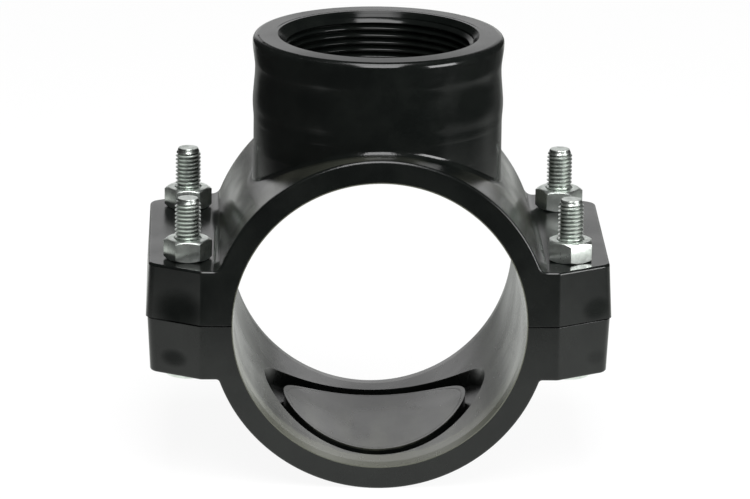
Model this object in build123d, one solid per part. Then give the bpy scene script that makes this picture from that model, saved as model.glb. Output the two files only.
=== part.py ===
from build123d import *
from math import hypot, radians, tan
import os

# Tapping saddle: a two-part clamp for a 90 mm plastic pipe with a 2 inch threaded branch.
# Millimetres. The origin is the middle of the pipe bore, Y runs along the pipe and Z points
# up the branch. The upper saddle and the lower strap meet on the plane z = 0.

# Ring round the pipe
pipe_diameter = 90.0
ring_wall = 7.4
saddle_length = 94.0  # along the pipe, at the parting plane
face_draft = 0.8  # degrees, the end faces lean inwards away from the parting plane
mouth_flare = 0.3  # radial opening of the bore at each end
mouth_flare_length = 5.0
edge_radius = 0.8  # rounding round the outside of each end face and ear

# Ears, reaching out from the ring's outer surface
ear_height = 17.3
ear_reach = 19.6
ear_flush_reach = 2.8  # how far an ear stays flush with the ring's end faces
ear_tip_setback = 10.3  # how far short of each end face the ear's tip stops
ear_tip_draft = 3.0
ear_tip_radius = 4.0
ear_shoulder_radius = 2.0
ear_root_radius = 3.0
strap_root_radius = 1.2
strap_step = 0.5  # the strap's ears stop this much short of the saddle's

# Threaded branch. The socket is plain at the thread's major diameter.
thread_major_diameter = 59.614
boss_wall = 8.95
boss_rise = 28.8  # from the ring's crown to the branch face
boss_lip = 0.45  # how far the lip stands out from the foot
boss_waist = 0.3  # how far the waist under the lip sinks in
boss_belly = 0.3  # how far the middle swells
boss_lip_radius = 2.0
boss_root_radius = 1.5
boss_waist_drop = 9.0  # depths below the branch face
boss_belly_drop = 22.5
boss_foot_drop = 27.0
socket_depth = 25.0
socket_chamfer = 1.6
tapping_hole_diameter = 50.0

# Seal ring and its groove, one round the tapping hole and an empty one in the strap
seal_land = 3.7  # wall between the tapping hole and the groove
groove_width = 6.1
groove_depth = 4.0
seal_side_clearance = 0.15
seal_back_clearance = 0.1
seal_edge_radius = 1.5

# M8 bolts and nuts
bolt_offset = 6.7  # from the ring's outer surface to the bolt's axis
bolt_end_distance = 16.2  # from each end face to the bolt's axis
bolt_diameter = 8.0
bolt_length = 51.0
bolt_point_chamfer = 1.0
spanner_size = 13.0
face_circle_diameter = 12.4  # flat circle left inside the corner chamfers
corner_chamfer = 30.0  # degrees
head_height = 5.3
nut_height = 6.5
nut_clearance = 0.05
ear_hole_clearance = 0.5
strap_hole_clearance = 0.3
head_pocket_depth = 2.8
head_pocket_clearance = 0.3
nut_angles = {"front_left": 0.0, "front_right": 28.0, "rear_left": 0.0, "rear_right": -4.0}

# Worked out from the sizes above
spare = 5.0  # cutting tools reach this far past what they cut
touch = 0.05  # how near an edge lies to the surface that it is looked for on
nearly_one = 0.95  # direction cosine past which a line counts as along an axis
bore_radius = pipe_diameter / 2
ring_radius = bore_radius + ring_wall
half_length = saddle_length / 2
ear_tip = ring_radius + ear_reach
branch_top = ring_radius + boss_rise
thread_radius = thread_major_diameter / 2
boss_radius = thread_radius + boss_wall
groove_inner = tapping_hole_diameter / 2 + seal_land
groove_outer = groove_inner + groove_width
groove_floor = bore_radius + groove_depth
bolt_radius = bolt_diameter / 2
head_seat = head_pocket_depth - ear_height
bolt_x = ring_radius + bolt_offset
bolt_y = half_length - bolt_end_distance
bolt_places = {
    "front_left": (-bolt_x, -bolt_y),
    "front_right": (bolt_x, -bolt_y),
    "rear_left": (-bolt_x, bolt_y),
    "rear_right": (bolt_x, bolt_y),
}


def half_profile(root_radius):
    """Outline of half a ring and its ears, seen along the pipe. The ears run past their tips."""
    ring = Circle(ring_radius) & Pos(0, ring_radius / 2) * Rectangle(2 * ring_radius, ring_radius)
    ears = Pos(0, ear_height / 2) * Rectangle(2 * (ear_tip + spare), ear_height)
    outline = ring + ears
    roots = [v for v in outline.vertices() if v.Y > touch and abs(v.X) < ring_radius]
    return fillet(roots, root_radius)


def plan_envelope(tip):
    """Drafted and rounded prism that gives a half its shape seen from above."""
    shoulder = ring_radius + ear_flush_reach
    halfway = (shoulder + tip) / 2
    slope = ear_tip_setback / (ear_tip - shoulder)
    tip_half = half_length - slope * (tip - shoulder)
    right = [(shoulder, half_length), (tip, tip_half), (tip, -tip_half), (shoulder, -half_length)]
    left = [(-x, -y) for x, y in right]
    prism = extrude(Polygon(*right, *left, align=None), branch_top, dir=(0, 0, 1))
    ends = prism.faces().filter_by(Axis.X)
    prism = draft(ends, Plane.XY, ear_tip_draft)
    sides = prism.faces().filter_by(lambda f: abs(f.center().Y) > touch)
    prism = draft(sides, Plane.XY, face_draft)
    corners = prism.edges().filter_by(is_upright)
    prism = fillet([e for e in corners if abs(e.center().X) > halfway], ear_tip_radius)
    corners = prism.edges().filter_by(is_upright)
    return fillet([e for e in corners if abs(e.center().X) < halfway], ear_shoulder_radius)


def is_upright(edge):
    """True for an edge that stands up, or leans by no more than a draft angle."""
    return abs(edge.tangent_at(0.5).Z) > nearly_one


def half_blank(tip, root_radius):
    """Solid half: ring and ears with every outside edge rounded, before any bore or hole."""
    bar = extrude(Plane.XZ * half_profile(root_radius), half_length + spare, both=True)
    blank = bar & plan_envelope(tip)
    rim = [e for e in blank.edges() if is_rim(e, tip)]
    return fillet(rim, edge_radius)


def is_rim(edge, tip):
    """True for an edge round the outside of an end face or an ear top."""
    at = edge.center()
    on_ear_wall = is_upright(edge) and abs(at.X) > ring_radius
    smooth_seam = abs(edge.tangent_at(0.5).Y) > nearly_one and abs(at.X) < tip - ear_tip_radius
    return at.Z > touch and not on_ear_wall and not smooth_seam


def pipe_bore():
    """The pipe's hole, opening slightly at both ends."""
    mouth = bore_radius + mouth_flare
    inner = half_length - mouth_flare_length
    side = [(0, -half_length - spare), (mouth, -half_length - spare), (mouth, -half_length)]
    side += [(bore_radius, -inner), (bore_radius, inner)]
    side += [(mouth, half_length), (mouth, half_length + spare), (0, half_length + spare)]
    return revolve(Plane.XY * make_face(Polyline(*side, close=True)), Axis.Y)


def groove_band(side_gap=0.0, back_gap=0.0):
    """Saddle-shaped ring round the branch axis, from the bore out to the groove's floor."""
    outer = Circle(groove_outer - side_gap) - Circle(groove_inner + side_gap)
    band = extrude(outer, amount=ring_radius)
    return band & Rot(90, 0, 0) * Cylinder(groove_floor - back_gap, saddle_length)


def branch_boss():
    """Outside of the branch, with its lip, waist and belly."""
    foot = branch_top - boss_foot_drop
    lip = boss_radius + boss_lip
    lip_foot = branch_top - boss_lip_radius
    side = Spline(
        (boss_radius, foot),
        (boss_radius + boss_belly, branch_top - boss_belly_drop),
        (boss_radius - boss_waist, branch_top - boss_waist_drop),
        (lip, lip_foot),
        tangents=[(0, 1), (0, 1)],
    )
    rounding = RadiusArc((lip, lip_foot), (lip - boss_lip_radius, branch_top), -boss_lip_radius)
    inside = [(lip - boss_lip_radius, branch_top), (0, branch_top), (0, 0), (boss_radius, 0)]
    rest = Polyline(*inside, (boss_radius, foot))
    return revolve(Plane.XZ * make_face([side, rounding, rest]), Axis.Z)


def branch_socket():
    """The threaded socket with its chamfered mouth, and the tapping hole under it."""
    mouth = thread_radius + socket_chamfer
    floor = branch_top - socket_depth
    hole = tapping_hole_diameter / 2
    side = [(0, 0), (hole, 0), (hole, floor), (thread_radius, floor)]
    side += [(thread_radius, branch_top - socket_chamfer), (mouth, branch_top)]
    side += [(mouth, branch_top + spare), (0, branch_top + spare)]
    return revolve(Plane.XZ * make_face(Polyline(*side, close=True)), Axis.Z)


def saddle_body():
    """Upper half with the threaded branch, bolt holes and seal groove."""
    body = half_blank(ear_tip, ear_root_radius) + branch_boss()
    body = fillet(body.edges().filter_by(on_boss_foot), boss_root_radius)
    body -= pipe_bore() + branch_socket()
    body -= groove_band()
    for x, y in bolt_places.values():
        body -= Pos(x, y, 0) * Cylinder(bolt_radius + ear_hole_clearance, 2 * ear_height + spare)
    return body


def on_boss_foot(edge):
    """True for the curve where the branch stands on the ring."""
    at = edge.position_at(0.5)
    return abs(hypot(at.X, at.Y) - boss_radius) < touch and touch < at.Z < ring_radius + touch


def lower_strap():
    """Lower half, with pockets that stop the bolt heads turning and its empty groove."""
    strap = half_blank(ear_tip - strap_step, strap_root_radius) - pipe_bore() - groove_band()
    pocket = RegularPolygon(spanner_size / 2 + head_pocket_clearance, 6, major_radius=False)
    for x, y in bolt_places.values():
        strap -= Pos(x, y, 0) * Cylinder(bolt_radius + strap_hole_clearance, 2 * ear_height + spare)
        strap -= extrude(Pos(x, y, -head_seat) * pocket, amount=head_pocket_depth + spare)
    return mirror(strap, Plane.XY)


def seal_ring():
    """Rubber ring pressed flush by the pipe, with rounded edges."""
    ring = groove_band(seal_side_clearance, seal_back_clearance)
    ring -= Rot(90, 0, 0) * Cylinder(bore_radius, saddle_length)
    return fillet(ring.edges().filter_by(GeomType.LINE, reverse=True), seal_edge_radius)


def hexagon(height, both_ends):
    """Hexagon block standing on z = 0 with its corners chamfered at the top, or at both ends."""
    reach = spanner_size
    face = face_circle_diameter / 2
    drop = (reach - face) * tan(radians(corner_chamfer))
    foot = [(face, 0), (reach, drop)] if both_ends else [(reach, 0)]
    side = [(0, 0), *foot, (reach, height - drop), (face, height), (0, height)]
    cone = revolve(Plane.XZ * make_face(Polyline(*side, close=True)), Axis.Z)
    return extrude(RegularPolygon(spanner_size / 2, 6, major_radius=False), amount=height) & cone


def bolt():
    """Hexagon bolt, head down, with the head's seat at z = 0."""
    shank = Cylinder(bolt_radius, bolt_length, align=(Align.CENTER, Align.CENTER, Align.MIN))
    shank = chamfer(shank.edges().sort_by(Axis.Z)[-1], bolt_point_chamfer)
    return shank + mirror(hexagon(head_height, False), Plane.XY)


def nut():
    """Hexagon nut standing on z = 0, plain at the bolt's major diameter."""
    return hexagon(nut_height, True) - Cylinder(bolt_radius + nut_clearance, 2 * nut_height + spare)


os.makedirs("parts", exist_ok=True)
export_step(saddle_body(), "parts/saddle_body.step")
export_step(lower_strap(), "parts/lower_strap.step")
export_step(seal_ring(), "parts/seal_ring.step")
for place, (x, y) in bolt_places.items():
    export_step(Pos(x, y, head_seat) * bolt(), f"parts/bolt_{place}.step")
    export_step(Pos(x, y, ear_height) * Rot(0, 0, nut_angles[place]) * nut(), f"parts/nut_{place}.step")
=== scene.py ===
import bpy
from math import cos, pi, radians, sin, tan
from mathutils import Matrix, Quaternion, Vector


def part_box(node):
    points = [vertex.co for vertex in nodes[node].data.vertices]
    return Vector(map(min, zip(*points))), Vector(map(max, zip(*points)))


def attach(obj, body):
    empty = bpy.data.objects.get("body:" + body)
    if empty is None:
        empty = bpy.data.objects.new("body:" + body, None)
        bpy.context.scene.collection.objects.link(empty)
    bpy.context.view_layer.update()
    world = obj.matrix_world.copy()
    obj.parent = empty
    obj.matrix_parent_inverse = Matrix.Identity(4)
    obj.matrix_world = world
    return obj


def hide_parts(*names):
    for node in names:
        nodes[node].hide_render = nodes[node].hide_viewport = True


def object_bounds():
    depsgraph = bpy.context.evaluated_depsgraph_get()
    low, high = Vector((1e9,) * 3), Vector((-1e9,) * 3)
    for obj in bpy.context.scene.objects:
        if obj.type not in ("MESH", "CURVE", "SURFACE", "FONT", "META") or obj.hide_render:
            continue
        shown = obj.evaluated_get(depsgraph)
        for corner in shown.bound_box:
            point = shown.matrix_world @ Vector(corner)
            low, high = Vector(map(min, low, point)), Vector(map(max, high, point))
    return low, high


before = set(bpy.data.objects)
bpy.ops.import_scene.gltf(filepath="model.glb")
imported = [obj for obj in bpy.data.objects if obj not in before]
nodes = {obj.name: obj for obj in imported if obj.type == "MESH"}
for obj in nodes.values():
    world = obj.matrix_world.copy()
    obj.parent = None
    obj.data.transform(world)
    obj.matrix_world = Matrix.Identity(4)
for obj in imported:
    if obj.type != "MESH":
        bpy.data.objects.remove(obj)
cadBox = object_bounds()
branchTop = cadBox[1][2]  # the flat face round the branch mouth
mm = 0.001
places = ("front_left", "front_right", "rear_left", "rear_right")
bpy.ops.object.select_all(action="DESELECT")
print("frame loaded:", len(nodes), "CAD nodes")


# habits shared by the modelled pieces

weld = 0.002 * mm  # points nearer than this are made one
sliver = 0.001 * mm  # edges shorter than this are left over from a cut
level = 0.01 * mm  # heights that differ by less than this are the same


def takeName(name):
    piece = bpy.context.active_object
    piece.name = name
    piece.data.name = name
    return piece


def pick(piece):
    bpy.ops.object.select_all(action="DESELECT")
    bpy.context.view_layer.objects.active = piece
    piece.select_set(True)


def applyModifiers(piece):
    pick(piece)
    for modifier in list(piece.modifiers):
        bpy.ops.object.modifier_apply(modifier=modifier.name)


def applyPlace(piece):
    pick(piece)
    bpy.ops.object.transform_apply(location=True, rotation=True, scale=True)


def copyOf(piece, name):
    twin = piece.copy()
    twin.data = piece.data.copy()
    bpy.context.scene.collection.objects.link(twin)
    twin.name = name
    twin.data.name = name
    return twin


def carve(piece, tool, operation):
    # the tool piece is used up
    boolean = piece.modifiers.new("carve", "BOOLEAN")
    boolean.operation = operation
    boolean.solver = "EXACT"
    boolean.object = tool
    applyModifiers(piece)
    bpy.data.objects.remove(tool)
    # slivers left along the cut
    bpy.ops.object.mode_set(mode="EDIT")
    bpy.ops.mesh.select_all(action="SELECT")
    bpy.ops.mesh.dissolve_degenerate(threshold=sliver)
    bpy.ops.mesh.remove_doubles(threshold=sliver)
    bpy.ops.object.mode_set(mode="OBJECT")
    piece.data.validate()


def chooseVertices(piece, test):
    # leaves the piece in edit mode with those vertices selected
    bpy.ops.object.mode_set(mode="EDIT")
    bpy.ops.mesh.select_mode(type="VERT")
    bpy.ops.mesh.select_all(action="DESELECT")
    bpy.ops.object.mode_set(mode="OBJECT")
    for vertex in piece.data.vertices:
        vertex.select = test(vertex.co)
    bpy.ops.object.mode_set(mode="EDIT")


def chooseFaces(piece, test):
    bpy.ops.object.mode_set(mode="EDIT")
    bpy.ops.mesh.select_mode(type="FACE")
    bpy.ops.mesh.select_all(action="DESELECT")
    bpy.ops.object.mode_set(mode="OBJECT")
    for face in piece.data.polygons:
        face.select = test(face)
    bpy.ops.object.mode_set(mode="EDIT")


def closeAndTurnOut():
    # in edit mode: joins doubles, fills the open ends and points every face outwards
    bpy.ops.mesh.select_all(action="SELECT")
    bpy.ops.mesh.remove_doubles(threshold=weld)
    bpy.ops.mesh.select_all(action="DESELECT")
    bpy.ops.mesh.select_mode(type="EDGE")
    bpy.ops.mesh.select_non_manifold(extend=False)
    bpy.ops.mesh.fill_holes(sides=0)
    bpy.ops.mesh.select_all(action="SELECT")
    bpy.ops.mesh.normals_make_consistent(inside=False)
    bpy.ops.object.mode_set(mode="OBJECT")


def smoothBelow(piece, angle):
    pick(piece)
    bpy.ops.object.shade_smooth_by_angle(angle=radians(angle))


# female pipe thread in the branch socket, a ridge wound up the CAD wall

branchThread = {
    "wallRadius": 29.807 * mm,  # the CAD wall, where the thread's roots lie
    "sunk": 0.25 * mm,  # how far the ridge is let into the wall
    "depth": 1.479 * mm,
    "pitch": 2.309 * mm,
    "crestWidth": 0.55 * mm,
    "flankAngle": 27.5,
    "crestRounding": 0.16 * mm,
    "turns": 9,
    "steps": 144,
    "startAboveFloor": 3.13 * mm,  # to the middle of the ridge where it starts
    "turnedBy": 0.0,  # degrees, where the ridge starts
    "floor": 56.2 * mm,
    "smoothAngle": 40.0,
    "chamferFoot": 79.6 * mm,  # where the mouth's 45 degree chamfer meets the wall
}


def makeBranchThread():
    t = branchThread
    height = t["depth"] + t["sunk"]
    middle = t["wallRadius"] - t["depth"] + height / 2
    baseWidth = t["crestWidth"] + 2 * height * tan(radians(t["flankAngle"]))
    foot = t["floor"] + t["startAboveFloor"]
    bpy.ops.mesh.primitive_plane_add(size=1, location=(middle, 0, foot), rotation=(pi / 2, 0, 0))
    ridge = takeName("branch_thread")
    bpy.ops.transform.resize(value=(height, 1, baseWidth))
    applyPlace(ridge)
    narrowing = t["crestWidth"] / baseWidth
    chooseVertices(ridge, lambda co: co.x < middle)
    bpy.ops.transform.resize(value=(1, 1, narrowing), center_override=(middle, 0, foot))
    bpy.ops.mesh.bevel(offset=t["crestRounding"], segments=2, affect="VERTICES")
    bpy.ops.object.mode_set(mode="OBJECT")
    winding = ridge.modifiers.new("winding", "SCREW")
    winding.axis = "Z"
    winding.screw_offset = t["pitch"]
    winding.iterations = t["turns"]
    winding.steps = t["steps"]
    winding.render_steps = t["steps"]
    applyModifiers(ridge)
    bpy.ops.object.mode_set(mode="EDIT")
    closeAndTurnOut()
    # the mouth's chamfer cuts the last turn down to nothing
    coneDepth = 2 * t["wallRadius"]
    bpy.ops.mesh.primitive_cone_add(
        vertices=t["steps"], radius1=0, radius2=coneDepth, depth=coneDepth,
        location=(0, 0, t["chamferFoot"] - t["wallRadius"] + coneDepth / 2))
    carve(ridge, takeName("chamfer_tool"), "DIFFERENCE")
    ridge.rotation_euler.z = radians(t["turnedBy"])
    applyPlace(ridge)
    smoothBelow(ridge, t["smoothAngle"])
    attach(ridge, "saddle")
    return ridge


# M8 bolts and nuts with real threads, which stand for the plain CAD ones

boltForm = {
    "shankRadius": 4.0 * mm,
    "rootRadius": 3.28 * mm,
    "pitch": 1.25 * mm,
    "crestWidth": 0.17 * mm,
    "rootWidth": 0.24 * mm,
    "steps": 48,
    "roundSteps": 96,
    "leadLength": 2.1 * mm,  # the point, where the thread fades out
    "pointRadius": 3.05 * mm,
    "headHeight": 5.3 * mm,
    "acrossFlats": 13.0 * mm,
    "faceCircle": 6.2 * mm,  # radius of the flat left inside the corner chamfers
    "cornerChamfer": 30.0,
    "edgeRounding": 0.14 * mm,
    "sharpest": 25.0,  # edges that turn by more than this are rounded
    "smoothAngle": 32.0,
    "discMargin": 1.1,  # chamfering disc to the hexagon's corners
    "sunk": 1.0 * mm,  # how far the shank reaches into the head
    "threadPlay": 0.05 * mm,  # between nut thread and bolt thread
    "countersink": 0.35 * mm,
}
nutTurns = {"front_left": 0.0, "front_right": 28.0, "rear_left": 0.0, "rear_right": -4.0}


def threadedRod(name, grow, bottom, top):
    # a thread profile wound up into a closed rod; grow widens it for a nut's thread
    b = boltForm
    turns = int((top - bottom) / b["pitch"]) + 3
    bpy.ops.mesh.primitive_grid_add(x_subdivisions=1, y_subdivisions=5, size=1, rotation=(pi / 2, 0, 0))
    rod = takeName(name)
    bpy.ops.transform.resize(value=(b["rootRadius"], 1, b["pitch"]))
    applyPlace(rod)
    inner = b["rootRadius"] / 2
    chooseVertices(rod, lambda co: co.x < 0)
    bpy.ops.mesh.delete(type="VERT")
    fifth = b["pitch"] / 5
    bpy.ops.object.mode_set(mode="OBJECT")
    # the strip's other edge is the profile: root, flank, crest, flank, root
    chooseVertices(rod, lambda co: abs(co.z) < fifth)
    bpy.ops.transform.translate(value=(b["shankRadius"] - b["rootRadius"], 0, 0))
    bpy.ops.transform.resize(value=(1, 1, b["crestWidth"] / fifth), center_override=(0, 0, 0))
    chooseVertices(rod, lambda co: fifth < abs(co.z) < 2 * fifth)
    flankSpan = b["pitch"] - b["rootWidth"]
    bpy.ops.transform.resize(value=(1, 1, flankSpan / (3 * fifth)), center_override=(0, 0, 0))
    bpy.ops.mesh.select_all(action="SELECT")
    bpy.ops.transform.translate(value=(inner + grow, 0, bottom - b["pitch"]))
    bpy.ops.object.mode_set(mode="OBJECT")
    winding = rod.modifiers.new("winding", "SCREW")
    winding.axis = "Z"
    winding.screw_offset = b["pitch"]
    winding.iterations = turns
    winding.steps = b["steps"]
    winding.render_steps = b["steps"]
    applyModifiers(rod)
    bpy.ops.object.mode_set(mode="EDIT")
    closeAndTurnOut()
    return rod


def hexBlock(name, bottom, top, turn, chamferBottom, chamferTop):
    b = boltForm
    height = top - bottom
    middle = (bottom + top) / 2
    corner = b["acrossFlats"] / 2 / cos(radians(30))
    bpy.ops.mesh.primitive_cylinder_add(
        vertices=6, radius=corner, depth=height, location=(0, 0, middle),
        rotation=(0, 0, radians(30 + turn)))
    block = takeName(name)
    applyPlace(block)
    # a wide disc whose rims are drawn in at the chamfer's angle cuts the arcs on the flats
    wide = corner * b["discMargin"]
    drop = (wide - b["faceCircle"]) * tan(radians(b["cornerChamfer"]))
    bpy.ops.mesh.primitive_cylinder_add(
        vertices=b["roundSteps"], radius=wide, depth=height, location=(0, 0, middle))
    disc = takeName("chamfer_disc")
    applyPlace(disc)
    for wanted, rim, inward in ((chamferBottom, bottom, 1), (chamferTop, top, -1)):
        if wanted:
            chooseFaces(disc, lambda face: abs(face.center.z - rim) < level and len(face.vertices) > 4)
            bpy.ops.transform.translate(value=(0, 0, inward * drop))
            bpy.ops.mesh.extrude_region_move(TRANSFORM_OT_translate={"value": (0, 0, -inward * drop)})
            share = b["faceCircle"] / wide
            bpy.ops.transform.resize(value=(share, share, 1), center_override=(0, 0, rim))
            bpy.ops.object.mode_set(mode="OBJECT")
    carve(block, disc, "INTERSECT")
    roundEdges(block)
    return block


def roundEdges(piece):
    rounding = piece.modifiers.new("rounding", "BEVEL")
    rounding.width = boltForm["edgeRounding"]
    rounding.segments = 2
    rounding.limit_method = "ANGLE"
    rounding.angle_limit = radians(boltForm["sharpest"])
    applyModifiers(piece)


def makeBolt(place):
    b = boltForm
    low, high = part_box("bolt_" + place)
    seat = low.z + b["headHeight"]
    foot = seat - b["sunk"]
    bolt = threadedRod("bolt_threaded_" + place, 0.0, foot, high.z)
    # a smooth envelope trims the wound rod and draws the thread down at the point
    length = high.z - foot
    bpy.ops.mesh.primitive_cylinder_add(
        vertices=b["roundSteps"], radius=b["shankRadius"], depth=length, location=(0, 0, foot + length / 2))
    envelope = takeName("envelope")
    applyPlace(envelope)
    chooseFaces(envelope, lambda face: face.normal.z > 0.9)
    bpy.ops.transform.translate(value=(0, 0, -b["leadLength"]))
    bpy.ops.mesh.extrude_region_move(TRANSFORM_OT_translate={"value": (0, 0, b["leadLength"])})
    share = b["pointRadius"] / b["shankRadius"]
    bpy.ops.transform.resize(value=(share, share, 1), center_override=(0, 0, high.z))
    bpy.ops.object.mode_set(mode="OBJECT")
    carve(bolt, envelope, "INTERSECT")
    carve(bolt, hexBlock("head", low.z, seat, 0.0, True, False), "UNION")
    return bolt


def makeNut(place):
    b = boltForm
    low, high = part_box("nut_" + place)
    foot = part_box("bolt_" + place)[0].z + b["headHeight"] - b["sunk"]
    nut = hexBlock("nut_threaded_" + place, low.z, high.z, nutTurns[place], True, True)
    carve(nut, threadedRod("bore_tool", b["threadPlay"], foot, high.z + 2 * b["pitch"]), "DIFFERENCE")
    # a countersink at each mouth
    mouth = b["shankRadius"] + b["countersink"]
    for rim, turn in ((low.z, 0.0), (high.z, pi)):
        bpy.ops.mesh.primitive_cone_add(
            vertices=b["roundSteps"], radius1=mouth * 2, radius2=0, depth=mouth * 2,
            location=(0, 0, rim), rotation=(turn, 0, 0))
        sink = takeName("sink_tool")
        applyPlace(sink)
        carve(nut, sink, "DIFFERENCE")
    return nut


def finishFastener(piece, node, body):
    # one modelled on the axis is moved to its own hole
    low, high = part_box(node)
    pick(piece)
    piece.location = ((low.x + high.x) / 2, (low.y + high.y) / 2, 0)
    applyPlace(piece)
    smoothBelow(piece, boltForm["smoothAngle"])
    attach(piece, body)
    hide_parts(node)


# nodes for the materials

def blankTree(owner):
    owner.use_nodes = True
    owner.node_tree.nodes.clear()
    return owner.node_tree


def newMaterial(name):
    material = bpy.data.materials.new(name)
    tree = blankTree(material)
    output = tree.nodes.new("ShaderNodeOutputMaterial")
    shader = tree.nodes.new("ShaderNodeBsdfPrincipled")
    tree.links.new(shader.outputs["BSDF"], output.inputs["Surface"])
    return material, tree, shader


def setInput(tree, socket, value):
    if isinstance(value, bpy.types.NodeSocket):
        tree.links.new(value, socket)
    else:
        socket.default_value = value


def coords(tree, scale=(1, 1, 1), turn=(0, 0, 0)):
    # object coordinates, in metres, stretched and turned
    coordinate = tree.nodes.new("ShaderNodeTexCoord")
    mapping = tree.nodes.new("ShaderNodeMapping")
    tree.links.new(coordinate.outputs["Object"], mapping.inputs["Vector"])
    mapping.inputs["Rotation"].default_value = turn
    mapping.inputs["Scale"].default_value = scale
    return mapping.outputs["Vector"]


def noise(tree, where, scale, detail=3.0, roughness=0.5, distortion=0.0):
    node = tree.nodes.new("ShaderNodeTexNoise")
    tree.links.new(where, node.inputs["Vector"])
    node.inputs["Scale"].default_value = scale
    node.inputs["Detail"].default_value = detail
    node.inputs["Roughness"].default_value = roughness
    node.inputs["Distortion"].default_value = distortion
    return node.outputs["Fac"]


def cells(tree, where, scale, feature="F1"):
    node = tree.nodes.new("ShaderNodeTexVoronoi")
    node.feature = feature
    tree.links.new(where, node.inputs["Vector"])
    node.inputs["Scale"].default_value = scale
    return node.outputs["Distance"]


def remap(tree, value, low, high, toLow=0.0, toHigh=1.0, smooth=True):
    node = tree.nodes.new("ShaderNodeMapRange")
    node.interpolation_type = "SMOOTHSTEP" if smooth else "LINEAR"
    node.clamp = True
    tree.links.new(value, node.inputs["Value"])
    for name, amount in (("From Min", low), ("From Max", high), ("To Min", toLow), ("To Max", toHigh)):
        node.inputs[name].default_value = amount
    return node.outputs["Result"]


def calc(tree, operation, first, second=0.0, third=0.0):
    node = tree.nodes.new("ShaderNodeMath")
    node.operation = operation
    for socket, value in zip(node.inputs, (first, second, third)):
        setInput(tree, socket, value)
    return node.outputs["Value"]


def blendColour(tree, share, first, second):
    node = tree.nodes.new("ShaderNodeMix")
    node.data_type = "RGBA"
    setInput(tree, node.inputs["Factor"], share)
    for socket, value in ((node.inputs[6], first), (node.inputs[7], second)):
        setInput(tree, socket, value if isinstance(value, bpy.types.NodeSocket) else (*value, 1))
    return node.outputs[2]


def bump(tree, height, strength, distance, under=None):
    # one more layer of bump, in metres, on top of those under it
    node = tree.nodes.new("ShaderNodeBump")
    node.inputs["Strength"].default_value = strength
    node.inputs["Distance"].default_value = distance
    tree.links.new(height, node.inputs["Height"])
    if under is not None:
        tree.links.new(under, node.inputs["Normal"])
    return node.outputs["Normal"]


def axes(tree):
    split = tree.nodes.new("ShaderNodeSeparateXYZ")
    tree.links.new(coords(tree), split.inputs["Vector"])
    return split.outputs["X"], split.outputs["Y"], split.outputs["Z"]


def times(tree, first, *others):
    for other in others:
        first = calc(tree, "MULTIPLY", first, other)
    return first


def oneMinus(tree, share):
    return calc(tree, "SUBTRACT", 1.0, share)


def lengthOf(tree, first, second):
    squares = calc(tree, "ADD", calc(tree, "POWER", first, 2.0), calc(tree, "POWER", second, 2.0))
    return calc(tree, "SQRT", squares)


def band(tree, value, middle, half):
    # 1 on a thin line where the value is at its middle
    away = calc(tree, "ABSOLUTE", calc(tree, "SUBTRACT", value, middle))
    return remap(tree, away, half, half * 0.4)


def wear(piece, material):
    piece.data.materials.clear()
    piece.data.materials.append(material)


# black moulded plastic; where a value is two lengths, its effect runs from none to full between them

plasticFinish = {
    "colour": (0.0036, 0.0045, 0.0041),
    "paleColour": (0.0062, 0.0074, 0.0066),
    "specular": 0.5,
    "ior": 1.5,
    "roughnessLow": 0.16,
    "roughnessHigh": 0.30,
    "paleContrast": (0.35, 0.7),
    "flowContrast": (0.3, 0.7),
    "flowDull": 0.7,
    "scuffStretch": (1, 0.15, 1),
    "scuffTurn": (0, 0.5, 0.4),
    "scuffContrast": (0.6, 0.78),
    "scuffDull": 0.3,
}
plasticNoise = {  # scale, detail, roughness and, for the flow, distortion
    "flow": (28, 4.0, 0.55, 0.4),  # soft unevenness of the moulded skin
    "cloud": (95, 3.0, 0.6),
    "grain": (900, 2.0, 0.6),
    "scuff": (700, 2.0, 0.7),
    "streak": (160, 3.0, 0.6),
}
plasticRelief = {  # strength and height of each layer of bump
    "flow": (0.35, 0.25 * mm),
    "grain": (0.25, 0.012 * mm),
    "scuff": (0.2, 0.01 * mm),
    "jointAndShadeLines": (0.6, -0.1 * mm),
    "marks": (0.3, 0.4 * mm),
}
boreFilmAndSheen = {  # chalky film that the core left in the bore, with painted reflection that makes it paler towards the front
    "colour": (0.100, 0.103, 0.080),
    "fromPipeAxis": (45.7 * mm, 45.3 * mm),
    # painted reflection: the film grows from the back of the bore to the front
    "sheenAlongBore": (40 * mm, -38 * mm),
    "frontRimSheen": (-33 * mm, -41 * mm),  # painted reflection, stronger still at the front rim
    "frontRimSheenShare": 2.0,
    "streakStretch": (1, 0.12, 1),
    "streakContrast": (0.35, 0.75),
    "streakShare": (0.1, 0.75),
}
# dark lines: the parting line is a joint between the halves, the mouth's step and the island's rim are
# painted shade
jointAndShadeLineFinish = {
    "colour": (0.001, 0.001, 0.001),
    "partingHalf": 0.3 * mm,  # half its width, where the halves meet
    "partingContrast": (0.3, 0.5),
    "partingShare": (0.5, 1.0),
    "upright": 0.5,  # only on faces whose normals rise or fall by less than this
    "stepRadius": 32.4 * mm,  # painted shade of a faint step round the far half of the branch mouth
    "stepHalf": 0.22 * mm,
    "stepDepth": (2 * mm, 12 * mm),
    "stepFoot": branchTop - 0.3 * mm,
    "islandRadius": 27.4 * mm,  # painted shade in a faint line inside the edge of the bore's island
    "islandHalf": 0.3 * mm,
    "islandContrast": (0.35, 0.6),
    "islandShare": (0.2, 0.6),
}
flankMarks = {  # mottled flow marks on the ring's flanks
    "scale": 75,
    "stretch": (1, 0.6, 1),
    "turn": (0.3, 0.5, 0.2),
    "contrast": (0.15, 0.75),
    "paleness": 0.35,
    "fromPipeAxis": (51 * mm, 52 * mm),
    "fromBranchAxis": (39.6 * mm, 41 * mm),
    "fromMiddle": (45.8 * mm, 44.5 * mm),
    "fromParting": (17.6 * mm, 19 * mm),
}
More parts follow.
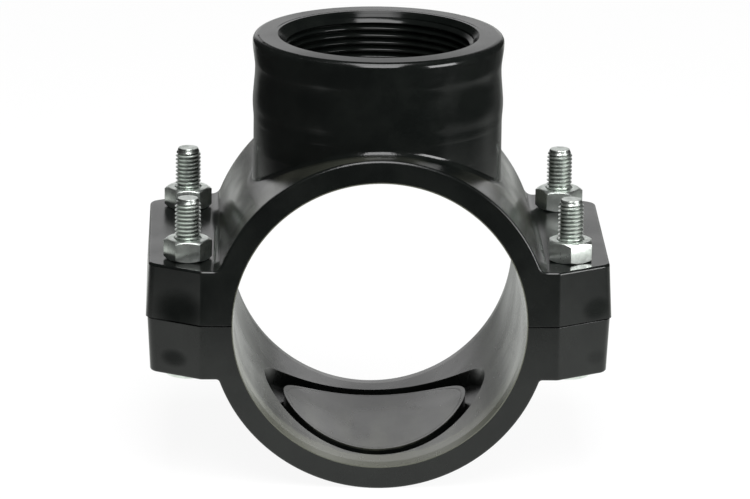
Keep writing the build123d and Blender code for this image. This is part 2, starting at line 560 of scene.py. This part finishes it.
branchFinish = {
    "outside": (42 * mm, 40.5 * mm),  # from the branch's axis, as the next one
    "inside": (31.6 * mm, 31.2 * mm),
    "outsideFoot": 46 * mm,
    "outsideTop": branchTop - 0.7 * mm,
    "insideFoot": 50 * mm,
    "gloss": 0.07,  # how much smoother the outside is
    "socketDull": 0.3,
    "coneFoot": branchTop - 1.6 * mm,
    "coneDull": 0.5,  # more of it on the mouth's chamfer
    "coneSides": (3 * mm, 8 * mm),  # from the middle, where there is less of that
    "coneShare": (0.5, 1.0),
    "faceFoot": branchTop - 0.1 * mm,
    "faceFront": (-8 * mm, -34 * mm),
    "faceFrontDull": (0.15, 0.84),
    "faceBack": (8 * mm, 34 * mm),
    "faceBackDull": (0.0, 0.16),
    "lip": branchTop - 2 * mm,  # heights of the wall's slight swells
    "waist": branchTop - 9 * mm,
    "belly": branchTop - 22.5 * mm,
    "foot": branchTop - 27 * mm,
    "lipRise": -0.75,  # how the bump that evens them out runs between those heights
    "bellyRise": -0.6,
    "footRise": 0.3,
    "evenness": 0.75 * mm,
}
sinkFade = 1.3  # square of how far out a sink mark ends, counted in its radii
sinkMarks = {  # oval: centre, radii and how dark
    "upper": (
        ((-61.5 * mm, -42.8 * mm, 3.6 * mm), (10 * mm, 10 * mm, 7.5 * mm), 0.9),
        ((67 * mm, -39.8 * mm, 4.1 * mm), (5.2 * mm, 8 * mm, 4 * mm), 0.7),
    ),
    "lower": (
        ((-63.3 * mm, -42 * mm, -11.7 * mm), (4.6 * mm, 8 * mm, 3 * mm), 0.65),
        ((67 * mm, -39.8 * mm, -11.7 * mm), (3 * mm, 8 * mm, 2.6 * mm), 0.25),
    ),
}


def filmAndSheenShare(tree, y, inBore):
    # chalky streaks, made paler towards the front and on the front rim as painted reflection
    f = boreFilmAndSheen
    streak = noise(tree, coords(tree, scale=f["streakStretch"]), *plasticNoise["streak"])
    filmAndSheen = times(
        tree, inBore, remap(tree, streak, *f["streakContrast"], *f["streakShare"]),
        remap(tree, y, *f["sheenAlongBore"]))
    front = times(tree, inBore, remap(tree, y, *f["frontRimSheen"], 0.0, f["frontRimSheenShare"]))
    return calc(tree, "ADD", filmAndSheen, front)


def jointAndShadeLineShare(tree, x, y, z, inBore, cloud):
    # the parting line on upright faces is a dark joint; the mouth's step and the island's rim are painted
    # shade
    d = jointAndShadeLineFinish
    fromBranch = lengthOf(tree, x, y)
    facing = tree.nodes.new("ShaderNodeSeparateXYZ")
    tree.links.new(tree.nodes.new("ShaderNodeNewGeometry").outputs["Normal"], facing.inputs["Vector"])
    upright = calc(tree, "LESS_THAN", calc(tree, "ABSOLUTE", facing.outputs["Z"]), d["upright"])
    parting = times(
        tree, band(tree, z, 0.0, d["partingHalf"]),
        remap(tree, cloud, *d["partingContrast"], *d["partingShare"]), upright, oneMinus(tree, inBore))
    # painted shade of the mouth's step
    stepShade = times(
        tree, band(tree, fromBranch, d["stepRadius"], d["stepHalf"]), remap(tree, y, *d["stepDepth"]),
        calc(tree, "GREATER_THAN", z, d["stepFoot"]))
    # painted shade inside the island's rim
    rim = times(
        tree, band(tree, fromBranch, d["islandRadius"], d["islandHalf"]), inBore,
        remap(tree, cloud, *d["islandContrast"], *d["islandShare"]))
    jointAndShadeLines = calc(tree, "MAXIMUM", calc(tree, "MAXIMUM", parting, stepShade), rim)
    jointAndShadeLines.node.use_clamp = True
    return jointAndShadeLines


def markShare(tree, x, y, z):
    m = flankMarks
    facets = cells(tree, coords(tree, scale=m["stretch"], turn=m["turn"]), m["scale"], "SMOOTH_F1")
    return times(
        tree, remap(tree, facets, *m["contrast"]),
        remap(tree, lengthOf(tree, x, z), *m["fromPipeAxis"]),
        remap(tree, lengthOf(tree, x, y), *m["fromBranchAxis"]),
        remap(tree, calc(tree, "ABSOLUTE", y), *m["fromMiddle"]),
        remap(tree, calc(tree, "ABSOLUTE", z), *m["fromParting"]))


def sinkShare(tree, x, y, z, centre, radii):
    # 1 at the middle of an oval mark and 0 outside it
    parts = []
    for axis, middle, radius in zip((x, y, z), centre, radii):
        away = calc(tree, "DIVIDE", calc(tree, "SUBTRACT", axis, middle), radius)
        parts.append(calc(tree, "POWER", away, 2.0))
    distance = calc(tree, "ADD", calc(tree, "ADD", parts[0], parts[1]), parts[2])
    return remap(tree, distance, sinkFade, 0.0)


def shineShare(tree, x, y, z, jointAndShadeLines, sinks):
    # none in the dark joint and painted shade lines, less in sink marks, in the socket and on the branch face
    b = branchFinish
    shine = oneMinus(tree, jointAndShadeLines)
    for centre, radii, depth in sinks:
        sink = sinkShare(tree, x, y, z, centre, radii)
        shine = times(tree, shine, oneMinus(tree, times(tree, sink, depth)))
    cone = times(
        tree, calc(tree, "GREATER_THAN", z, b["coneFoot"]),
        remap(tree, calc(tree, "ABSOLUTE", x), *b["coneSides"], *b["coneShare"]))
    socket = times(
        tree, remap(tree, lengthOf(tree, x, y), *b["inside"]), calc(tree, "GREATER_THAN", z, b["insideFoot"]),
        calc(tree, "MULTIPLY_ADD", cone, b["coneDull"], b["socketDull"]))
    fall = calc(tree, "ADD", remap(tree, y, *b["faceFront"], *b["faceFrontDull"]),
                remap(tree, y, *b["faceBack"], *b["faceBackDull"]))
    face = times(tree, calc(tree, "GREATER_THAN", z, b["faceFoot"]), fall)
    return times(tree, shine, oneMinus(tree, socket), oneMinus(tree, face))


def branchShare(tree, x, y, z):
    b = branchFinish
    return times(
        tree, remap(tree, lengthOf(tree, x, y), *b["outside"]),
        calc(tree, "GREATER_THAN", z, b["outsideFoot"]), calc(tree, "LESS_THAN", z, b["outsideTop"]))


def branchWave(tree, z):
    # the branch's waist and belly again, for a bump that evens out their shading
    b = branchFinish
    wave = calc(tree, "ADD", remap(tree, z, b["waist"], b["lip"], 0.0, b["lipRise"]),
                remap(tree, z, b["waist"], b["belly"], 0.0, b["bellyRise"]))
    return calc(tree, "ADD", wave, remap(tree, z, b["belly"], b["foot"], 0.0, b["footRise"]))


def makePlastic(name, extraRoughness, sinks):
    p = plasticFinish
    material, tree, shader = newMaterial(name)
    whole = coords(tree)
    x, y, z = axes(tree)
    flow = noise(tree, whole, *plasticNoise["flow"])
    cloud = noise(tree, whole, *plasticNoise["cloud"])
    grain = noise(tree, whole, *plasticNoise["grain"])
    slanted = coords(tree, scale=p["scuffStretch"], turn=p["scuffTurn"])
    scuff = remap(tree, noise(tree, slanted, *plasticNoise["scuff"]), *p["scuffContrast"])
    inBore = remap(tree, lengthOf(tree, x, z), *boreFilmAndSheen["fromPipeAxis"])
    filmAndSheen = filmAndSheenShare(tree, y, inBore)
    jointAndShadeLines = jointAndShadeLineShare(tree, x, y, z, inBore, cloud)
    marks = markShare(tree, x, y, z)
    branch = branchShare(tree, x, y, z)
    # colour, from the bare plastic up to what lies on it, with painted reflection in the bore and painted
    # shade lines
    colour = blendColour(tree, remap(tree, cloud, *p["paleContrast"]), p["colour"], p["paleColour"])
    # the bore's chalky film and its painted reflection
    colour = blendColour(tree, filmAndSheen, colour, boreFilmAndSheen["colour"])
    colour = blendColour(tree, times(tree, marks, flankMarks["paleness"]), colour, boreFilmAndSheen["colour"])
    # dark joint at the parting line and painted shade lines
    colour = blendColour(tree, jointAndShadeLines, colour, jointAndShadeLineFinish["colour"])
    tree.links.new(colour, shader.inputs["Base Color"])
    # shine, dull patches and fine scuffs
    shine = shineShare(tree, x, y, z, jointAndShadeLines, sinks)
    tree.links.new(times(tree, shine, p["specular"]), shader.inputs["Specular IOR Level"])
    shader.inputs["IOR"].default_value = p["ior"]
    dull = calc(tree, "ADD", remap(tree, flow, *p["flowContrast"], 0.0, p["flowDull"]),
                times(tree, scuff, p["scuffDull"]))
    roughness = remap(
        tree, dull, 0.0, 1.0, p["roughnessLow"] + extraRoughness, p["roughnessHigh"] + extraRoughness,
        smooth=False)
    roughness = calc(tree, "SUBTRACT", roughness, times(tree, branch, branchFinish["gloss"]))
    tree.links.new(roughness, shader.inputs["Roughness"])
    # soft waves, fine grain, scuffs, lines and marks
    normal = None
    layers = {"flow": flow, "grain": grain, "scuff": scuff, "jointAndShadeLines": jointAndShadeLines, "marks": marks}
    for layer, height in layers.items():
        normal = bump(tree, height, *plasticRelief[layer], normal)
    normal = bump(tree, times(tree, branchWave(tree, z), branch), 1.0, branchFinish["evenness"], normal)
    tree.links.new(normal, shader.inputs["Normal"])
    return material


# zinc-plated steel

steelFinish = {
    "colour": (0.86, 0.91, 0.865),
    "deepColour": (0.50, 0.55, 0.51),  # in the patches
    "rootShadeColour": (0.10, 0.115, 0.105),  # painted shade down in the threads
    "rootShadeShare": 0.62,
    "crestDepth": 0.3 * mm,  # the painted shade starts this far below the crests
    "pointRadius": (3.1 * mm, 3.2 * mm),  # and is left off inside this, on the bolts' ends
    "metal": 1.0,
    "roughnessLow": 0.26,
    "roughnessHigh": 0.42,
    "unevenContrast": (0.3, 0.7),
    "rolledNoise": (2600, 2.0, 0.7),  # scale, detail and roughness
    "rolledStretch": (1, 1, 0.12),
    "patchNoise": (420, 3.0, 0.6),
    "patchContrast": (0.42, 0.75),
    "patchShare": 0.55,
    "pitScale": 1900,
    "pitSize": 0.18,
}
steelRelief = {  # strength and height, as for the plastic
    "rolled": (0.5, 0.025 * mm),
    "pits": (0.5, -0.02 * mm),
    "patch": (0.5, 0.06 * mm),
}


def rootShade(tree):
    # painted shade that grows from the threads' crests to their roots, on whichever of the four bolts is
    # nearest
    s = steelFinish
    low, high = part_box("bolt_rear_right")
    x, y, z = axes(tree)
    fromBolt = lengthOf(
        tree, calc(tree, "SUBTRACT", calc(tree, "ABSOLUTE", x), (low.x + high.x) / 2),
        calc(tree, "SUBTRACT", calc(tree, "ABSOLUTE", y), (low.y + high.y) / 2))
    crest = boltForm["shankRadius"] - s["crestDepth"]
    return times(
        tree, remap(tree, fromBolt, boltForm["rootRadius"], crest, s["rootShadeShare"], 0.0),
        remap(tree, fromBolt, *s["pointRadius"]))


def makeSteel(name):
    s = steelFinish
    material, tree, shader = newMaterial(name)
    whole = coords(tree)
    rolled = noise(tree, coords(tree, scale=s["rolledStretch"]), *s["rolledNoise"])
    patch = noise(tree, whole, *s["patchNoise"])
    pits = remap(tree, cells(tree, whole, s["pitScale"]), 0.0, s["pitSize"], 1.0, 0.0)
    stain = times(tree, remap(tree, patch, *s["patchContrast"]), s["patchShare"])
    colour = blendColour(tree, stain, s["colour"], s["deepColour"])
    # painted shade in the thread roots
    colour = blendColour(tree, rootShade(tree), colour, s["rootShadeColour"])
    tree.links.new(colour, shader.inputs["Base Color"])
    shader.inputs["Metallic"].default_value = s["metal"]
    uneven = calc(tree, "ADD", times(tree, rolled, 0.5), times(tree, patch, 0.5))
    roughness = remap(tree, uneven, *s["unevenContrast"], s["roughnessLow"], s["roughnessHigh"])
    tree.links.new(roughness, shader.inputs["Roughness"])
    normal = None
    for layer, height in {"rolled": rolled, "pits": pits, "patch": patch}.items():
        normal = bump(tree, height, *steelRelief[layer], normal)
    tree.links.new(normal, shader.inputs["Normal"])
    return material


# seal rubber

rubberFinish = {
    "colour": (0.014, 0.014, 0.014),
    "dustColour": (0.055, 0.055, 0.052),
    "dustShare": 0.7,
    "dustNoise": (300, 4.0, 0.65),
    "dustContrast": (0.5, 0.8),
    "grainNoise": (1500, 2.0, 0.6),
    "grainRelief": (0.3, 0.015 * mm),
    "roughness": 0.55,
    "dustRoughness": 0.75,
}


def makeRubber(name):
    r = rubberFinish
    material, tree, shader = newMaterial(name)
    whole = coords(tree)
    dust = remap(tree, noise(tree, whole, *r["dustNoise"]), *r["dustContrast"], 0.0, r["dustShare"])
    tree.links.new(blendColour(tree, dust, r["colour"], r["dustColour"]), shader.inputs["Base Color"])
    roughness = remap(tree, dust, 0.0, r["dustShare"], r["roughness"], r["dustRoughness"])
    tree.links.new(roughness, shader.inputs["Roughness"])
    normal = bump(tree, noise(tree, whole, *r["grainNoise"]), *r["grainRelief"])
    tree.links.new(normal, shader.inputs["Normal"])
    return material


# pale floor, backdrop light and lamps; the gloss sees a sheet of white paper on the floor

studio = {
    "floorRadius": 6.0,
    "floorInset": 0.8,  # share of that radius
    "floorSteps": 128,
    "paperColour": (0.8, 0.8, 0.8),
    "paperFront": -0.215,  # where the sheet ends
    "paperLeft": -0.28,
    "paperRight": 0.26,
    "paperFade": 0.06,
    "sideShare": 0.35,  # how bright it still is further to the right
    "sideReach": 0.42,
    "farShare": 0.27,  # and in the shade behind the object
    "farDepth": (0.15, 0.32),
    "beyondShare": 1.0,  # and further back
    "beyondDepth": (0.42, 0.6),
    "seenShare": 0.85,  # white that the camera sees, under a faint shadow
    "seenStrength": 1.08,
    "glowColour": (0.975, 1.0, 0.965),
    "frontGlow": 0.03,
    "backGlow": 0.9,  # the white behind
    "backWidth": 0.32,  # half of it, as a sine from the middle
    "backFade": 0.08,
    "backTop": (0.55, 0.25),  # as a sine from level: none above, full below
    "worldLight": 0.15,
    "lampPower": 11.5,
    "lampSize": (0.5, 1.15),
    "lampDistance": 0.95,
    "lampElevation": 63.0,  # towards the front
    "sidePower": 5.0,
    "sideSize": 0.42,
    "sidePlace": (0.72, -0.46, 0.20),
}


def emission(tree, colour, strength):
    node = tree.nodes.new("ShaderNodeEmission")
    node.inputs["Color"].default_value = (*colour, 1)
    setInput(tree, node.inputs["Strength"], strength)
    return node.outputs["Emission"]


def mixShaders(tree, share, first, second):
    node = tree.nodes.new("ShaderNodeMixShader")
    setInput(tree, node.inputs["Fac"], share)
    tree.links.new(first, node.inputs[1])
    tree.links.new(second, node.inputs[2])
    return node.outputs["Shader"]


def blendValue(tree, share, first, second):
    node = tree.nodes.new("ShaderNodeMix")
    node.data_type = "FLOAT"
    for socket, value in zip((node.inputs["Factor"], node.inputs[2], node.inputs[3]), (share, first, second)):
        setInput(tree, socket, value)
    return node.outputs[0]


def sheetWhite(tree):
    # 1 on the white sheet and 0 on the dark floor round it
    s = studio
    x, y, z = axes(tree)
    fade = s["paperFade"]
    front = remap(tree, y, s["paperFront"] - fade / 2, s["paperFront"] + fade / 2)
    left = remap(tree, x, s["paperLeft"] - fade, s["paperLeft"] + fade)
    right = remap(tree, x, s["paperRight"] + fade, s["paperRight"] - fade)
    beside = remap(tree, x, s["sideReach"] + fade, s["sideReach"] - fade, 0.0, s["sideShare"])
    far = remap(tree, y, *s["farDepth"], 1.0, s["farShare"])
    beyond = remap(tree, y, *s["beyondDepth"], 0.0, s["beyondShare"])
    return times(
        tree, front, times(tree, left, calc(tree, "MAXIMUM", right, beside)),
        calc(tree, "MAXIMUM", far, beyond))


def makePaper(name):
    s = studio
    material = bpy.data.materials.new(name)
    tree = blankTree(material)
    rays = tree.nodes.new("ShaderNodeLightPath")
    paper = tree.nodes.new("ShaderNodeBsdfDiffuse")
    paper.inputs["Color"].default_value = (*s["paperColour"], 1)
    glow = remap(tree, sheetWhite(tree), 0.0, 1.0, s["frontGlow"], s["backGlow"], smooth=False)
    seen = mixShaders(
        tree, s["seenShare"], paper.outputs["BSDF"], emission(tree, (1, 1, 1), s["seenStrength"]))
    unseen = mixShaders(
        tree, rays.outputs["Is Glossy Ray"], paper.outputs["BSDF"], emission(tree, s["glowColour"], glow))
    output = tree.nodes.new("ShaderNodeOutputMaterial")
    tree.links.new(mixShaders(tree, rays.outputs["Is Camera Ray"], unseen, seen), output.inputs["Surface"])
    return material


def makeFloor(height):
    s = studio
    bpy.ops.mesh.primitive_circle_add(
        vertices=s["floorSteps"], radius=s["floorRadius"], fill_type="NGON", location=(0, 0, height))
    floor = takeName("studio_floor")
    applyPlace(floor)
    bpy.ops.object.mode_set(mode="EDIT")
    bpy.ops.mesh.select_all(action="SELECT")
    bpy.ops.mesh.inset(thickness=s["floorRadius"] * s["floorInset"])
    bpy.ops.object.mode_set(mode="OBJECT")
    wear(floor, makePaper("paper"))


def makeWorld():
    s = studio
    world = bpy.data.worlds.new("studio")
    bpy.context.scene.world = world
    tree = blankTree(world)
    rays = tree.nodes.new("ShaderNodeLightPath")
    direction = tree.nodes.new("ShaderNodeTexCoord")
    split = tree.nodes.new("ShaderNodeSeparateXYZ")
    tree.links.new(direction.outputs["Generated"], split.inputs["Vector"])
    # what the gloss sees: white low down behind the object, and a dark room elsewhere
    low = remap(tree, split.outputs["Z"], *s["backTop"])
    across = calc(tree, "ABSOLUTE", split.outputs["X"])
    back = times(tree, remap(tree, across, s["backWidth"] + s["backFade"], s["backWidth"] - s["backFade"]),
                 calc(tree, "GREATER_THAN", split.outputs["Y"], 0.0))
    glow = remap(tree, times(tree, low, back), 0.0, 1.0, s["frontGlow"], s["backGlow"], smooth=False)
    strength = blendValue(tree, rays.outputs["Is Glossy Ray"], s["worldLight"], glow)
    strength = blendValue(tree, rays.outputs["Is Camera Ray"], strength, 1.0)
    light = tree.nodes.new("ShaderNodeBackground")
    light.inputs["Color"].default_value = (1, 1, 1, 1)
    tree.links.new(strength, light.inputs["Strength"])
    output = tree.nodes.new("ShaderNodeOutputWorld")
    tree.links.new(light.outputs["Background"], output.inputs["Surface"])


def makeLamps():
    s = studio
    tilt = radians(s["lampElevation"])
    toLamp = Vector((0, -cos(tilt), sin(tilt)))
    bpy.ops.object.light_add(type="AREA", location=toLamp * s["lampDistance"], rotation=(pi / 2 - tilt, 0, 0))
    lamp = bpy.context.active_object
    lamp.name = "softbox"
    lamp.data.shape = "RECTANGLE"
    lamp.data.size, lamp.data.size_y = s["lampSize"]
    lamp.data.energy = s["lampPower"]
    # a small one at the right lights the steel
    place = Vector(s["sidePlace"])
    bpy.ops.object.light_add(type="AREA", location=place)
    side = bpy.context.active_object
    side.name = "side_softbox"
    side.rotation_mode = "QUATERNION"
    side.rotation_quaternion = (-place).to_track_quat("-Z", "Y")
    side.data.size = s["sideSize"]
    side.data.energy = s["sidePower"]


# camera at the photo's angle

cameraView = {
    "azimuth": -1.815,
    "elevation": 15.549,
    "roll": 0.689,
    "distance": 1870.26 * mm,
    "target": (-0.344 * mm, 0.0, 11.593 * mm),
    "focalPixels": 5953.2,
    "pictureWidth": 750,
    "sensorWidth": 36,  # in millimetres, as Blender counts it
    "clipEnd": 50,
}


def makeCamera():
    c = cameraView
    azimuth, elevation = radians(c["azimuth"]), radians(c["elevation"])
    back = Vector((sin(azimuth) * cos(elevation), -cos(azimuth) * cos(elevation), sin(elevation)))
    bpy.ops.object.camera_add(location=Vector(c["target"]) + back * c["distance"])
    camera = bpy.context.active_object
    camera.rotation_mode = "QUATERNION"
    camera.rotation_quaternion = (-back).to_track_quat("-Z", "Y") @ Quaternion((0, 0, 1), radians(c["roll"]))
    camera.data.sensor_width = c["sensorWidth"]
    camera.data.lens = c["focalPixels"] / c["pictureWidth"] * c["sensorWidth"]
    camera.data.clip_end = c["clipEnd"]
    bpy.context.scene.camera = camera


# the work itself

bpy.context.scene.view_settings.view_transform = "Standard"
thread = makeBranchThread()
print("branch thread wound")

steel = makeSteel("zinc_steel_finish")
bolts = {places[0]: makeBolt(places[0])}
for spot in places[1:]:
    bolts[spot] = copyOf(bolts[places[0]], "bolt_threaded_" + spot)
for spot, bolt in bolts.items():
    finishFastener(bolt, "bolt_" + spot, "strap")
    wear(bolt, steel)
print("bolts threaded")

for spot in places:
    nut = makeNut(spot)
    finishFastener(nut, "nut_" + spot, "nut_" + spot)
    wear(nut, steel)
print("nuts threaded")

upperPlastic = makePlastic("upper_plastic", 0.0, sinkMarks["upper"])
lowerPlastic = makePlastic("lower_plastic", 0.04, sinkMarks["lower"])
wear(nodes["saddle_body"], upperPlastic)
wear(thread, upperPlastic)
wear(nodes["lower_strap"], lowerPlastic)
wear(nodes["seal_ring"], makeRubber("seal_rubber_finish"))
print("materials on")

makeFloor(cadBox[0][2])
makeWorld()
makeLamps()
makeCamera()
print("studio and camera ready")
